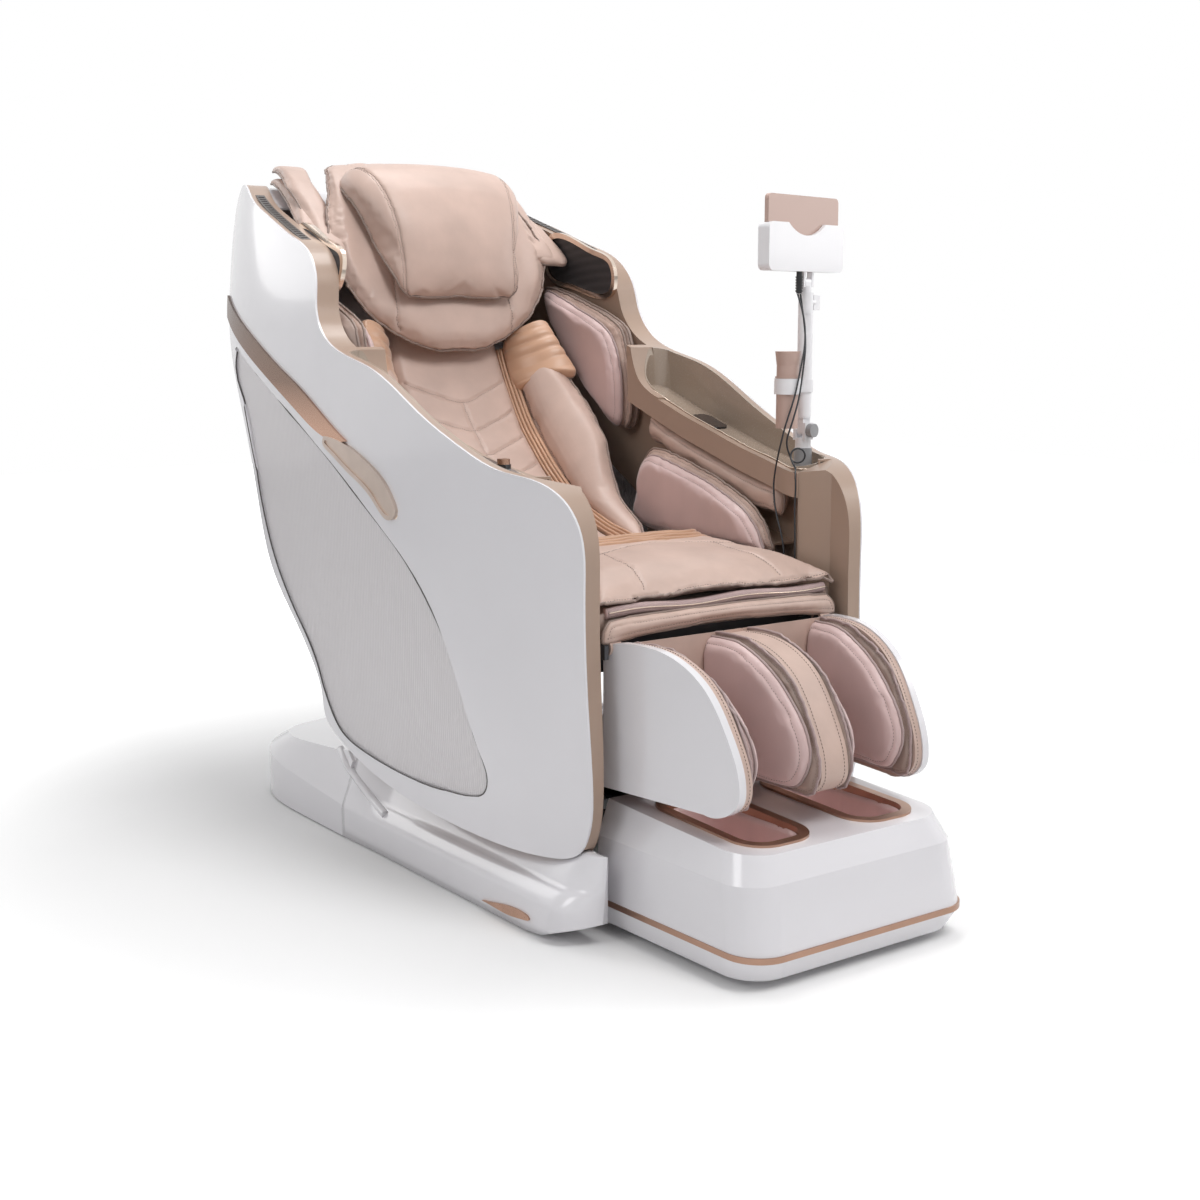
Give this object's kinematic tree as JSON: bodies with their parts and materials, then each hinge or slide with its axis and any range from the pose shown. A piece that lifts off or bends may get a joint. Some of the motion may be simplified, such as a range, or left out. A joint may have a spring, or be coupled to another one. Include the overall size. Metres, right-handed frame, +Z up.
{
  "type": "massage chair",
  "caption": "Reclining massage chair with winged side shells, padded armrests, calf and foot units and a tablet arm.",
  "frame": {"origin": "on the floor at the centre of the rubber feet", "axes": "+Z up, -Y the way the sitter faces, +X the sitter's left"},
  "size_m": [0.8268, 1.673, 1.362],
  "materials": {
    "pearl_white": "gloss",
    "panel_white": "satin",
    "rose_gold": "polished",
    "liner_beige": "satin",
    "tray_taupe": "satin",
    "black_plastic": "matte",
    "bezel_chrome": "polished",
    "speaker_cloth": "matte",
    "dark_gloss": "gloss",
    "dial_gold": "polished",
    "frame_steel": "satin",
    "steel_bright": "brushed",
    "roller_plastic": "satin",
    "leather_beige": "satin",
    "leather_pink": "satin",
    "rubber_black": "matte",
    "wheel_tyre": "matte",
    "well_lining": "matte",
    "bronze_trim": "satin",
    "arm_white": "gloss",
    "knob_grey": "satin",
    "tablet_gold": "satin",
    "wand_gold": "satin",
    "cable_black": "satin"
  },
  "bodies": {
    "base": {"base_frame": "frame_steel", "base_side_covers": "pearl_white", "base_cover_rear": "pearl_white", "base_accents": "bronze_trim", "rubber_feet": "rubber_black", "power_inlet": "black_plastic", "drive_units": "black_plastic"},
    "power_rocker": {"power_switch": "black_plastic"},
    "wheels": {"transport_wheels": "wheel_tyre"},
    "sled": {"sled_frame": "frame_steel"},
    "cabin": {"side_shells": "pearl_white", "side_wings": "pearl_white", "side_panels": "panel_white", "light_bars": "rose_gold", "badges": "rose_gold", "arm_liners": "liner_beige", "wing_liners": "liner_beige", "armrest_trays": "tray_taupe", "vent_grilles": "black_plastic", "speaker_bezels": "bezel_chrome", "speaker_meshes": "speaker_cloth", "back_cover": "pearl_white", "charge_plate": "dark_gloss", "control_panel": "dark_gloss", "seat_frame": "frame_steel", "back_frame": "frame_steel", "track_rails": "steel_bright", "back_pad": "leather_beige", "neck_pad": "leather_beige", "head_pillow": "leather_beige", "shoulder_pads": "leather_pink", "hip_pads": "leather_pink", "arm_pads": "leather_beige", "seat_pad": "leather_beige", "seat_flap": "leather_beige", "mast_socket": "arm_white", "cable_a": "cable_black", "cable_b": "cable_black"},
    "dial": {"control_knob": "dial_gold"},
    "carriage": {"massage_carriage": "frame_steel"},
    "kneader": {"kneading_shaft": "steel_bright"},
    "rocker_arms": {"roller_arms": "frame_steel"},
    "rollers_up": {"upper_rollers": "roller_plastic"},
    "rollers_down": {"lower_rollers": "roller_plastic"},
    "legrest": {"calf_frame": "liner_beige", "calf_covers": "pearl_white", "calf_airbags": "leather_pink"},
    "footbox": {"foot_housing": "pearl_white", "foot_trims": "bronze_trim", "foot_liners": "well_lining"},
    "sole_massager": {"foot_rollers": "roller_plastic"},
    "arm_foot": {"mast_fork": "arm_white"},
    "arm_knuckle": {"knuckle_knob": "knob_grey"},
    "arm_lower": {"mast_lower": "arm_white"},
    "arm_upper": {"mast_upper": "arm_white"},
    "arm_clamp": {"clamp_knob": "arm_white"},
    "cradle": {"tablet_cradle": "arm_white", "strain_relief": "rubber_black"},
    "screen": {"tablet": "tablet_gold"},
    "scanner": {"wand": "wand_gold"}
  },
  "joints": [
    {"name": "sled_slide", "type": "slide", "parent": "base", "child": "sled", "axis": [0, -1, 0], "range_m": [0, 0.12]},
    {"name": "recline", "type": "hinge", "parent": "sled", "child": "cabin", "pos_m": [0, -0.1, 0.3], "axis": [-1, 0, 0], "range_deg": [0, 30]},
    {"name": "legrest_lift", "type": "hinge", "parent": "cabin", "child": "legrest", "pos_m": [0, -0.6, 0.492], "axis": [-1, 0, 0], "range_deg": [0, 80], "deforming": ["seat_flap"]},
    {"name": "foot_extend", "type": "slide", "parent": "legrest", "child": "footbox", "axis": [0, 0, -1], "range_m": [0, 0.12]},
    {"name": "sole_roller_spin", "type": "hinge", "parent": "footbox", "child": "sole_massager", "pos_m": [0, -0.79, 0.068], "axis": [1, 0, 0], "continuous": true},
    {"name": "carriage_travel", "type": "slide", "parent": "cabin", "child": "carriage", "axis": [0, 0.506, 0.8625], "range_m": [0, 0.43]},
    {"name": "kneading_turn", "type": "hinge", "parent": "carriage", "child": "kneader", "pos_m": [0, 0.28635, 0.68397], "axis": [1, 0, 0], "continuous": true},
    {"name": "roller_arm_rock", "type": "hinge", "parent": "carriage", "child": "rocker_arms", "pos_m": [0, 0.28635, 0.68397], "axis": [1, 0, 0], "range_deg": [-9, 9]},
    {"name": "upper_roller_spin", "type": "hinge", "parent": "rocker_arms", "child": "rollers_up", "pos_m": [0, 0.29957, 0.73418], "axis": [1, 0, 0], "continuous": true},
    {"name": "lower_roller_spin", "type": "hinge", "parent": "rocker_arms", "child": "rollers_down", "pos_m": [0, 0.24897, 0.64792], "axis": [1, 0, 0], "continuous": true},
    {"name": "dial_turn", "type": "hinge", "parent": "cabin", "child": "dial", "pos_m": [-0.309, -0.385, 0.785], "axis": [0, 0, 1], "continuous": true},
    {"name": "power_rock", "type": "hinge", "parent": "base", "child": "power_rocker", "pos_m": [-0.052, 0.672, 0.048], "axis": [1, 0, 0], "range_deg": [-5, 5]},
    {"name": "wheel_roll", "type": "hinge", "parent": "base", "child": "wheels", "pos_m": [0, 0.54, 0.0295], "axis": [1, 0, 0], "continuous": true},
    {"name": "arm_swivel", "type": "hinge", "parent": "cabin", "child": "arm_foot", "pos_m": [0.32, -0.455, 0.8], "axis": [0, 0, 1], "range_deg": [-45, 45], "deforming": ["cable_a", "cable_b"]},
    {"name": "knuckle_turn", "type": "hinge", "parent": "arm_foot", "child": "arm_knuckle", "pos_m": [0.32, -0.455, 0.824], "axis": [-0.1822, 0.9833, 0], "continuous": true},
    {"name": "arm_tilt", "type": "hinge", "parent": "arm_foot", "child": "arm_lower", "pos_m": [0.32, -0.455, 0.824], "axis": [-0.1822, 0.9833, 0], "range_deg": [-25, 20], "deforming": ["cable_a", "cable_b"]},
    {"name": "arm_extend", "type": "slide", "parent": "arm_lower", "child": "arm_upper", "axis": [0, 0, 1], "range_m": [0, 0.08], "deforming": ["cable_a", "cable_b"]},
    {"name": "clamp_turn", "type": "hinge", "parent": "arm_upper", "child": "arm_clamp", "pos_m": [0.32, -0.455, 1.062], "axis": [0.9833, 0.1822, 0], "continuous": true},
    {"name": "cradle_tilt", "type": "hinge", "parent": "arm_upper", "child": "cradle", "pos_m": [0.32, -0.455, 1.1], "axis": [0.9833, 0.1822, 0], "range_deg": [-20, 20], "deforming": ["cable_a", "cable_b"]},
    {"name": "tablet_lift", "type": "slide", "parent": "cradle", "child": "screen", "axis": [0, 0, 1], "range_m": [0, 0.1]},
    {"name": "wand_lift", "type": "slide", "parent": "arm_lower", "child": "scanner", "axis": [0, 0, 1], "range_m": [0, 0.1], "deforming": ["cable_a", "cable_b"]}
  ],
  "couplings": [
    {"joint": "sled_slide", "follows": "recline", "m_per_rad": 0.22899},
    {"joint": "foot_extend", "follows": "legrest_lift", "m_per_rad": 0.08587}
  ]
}
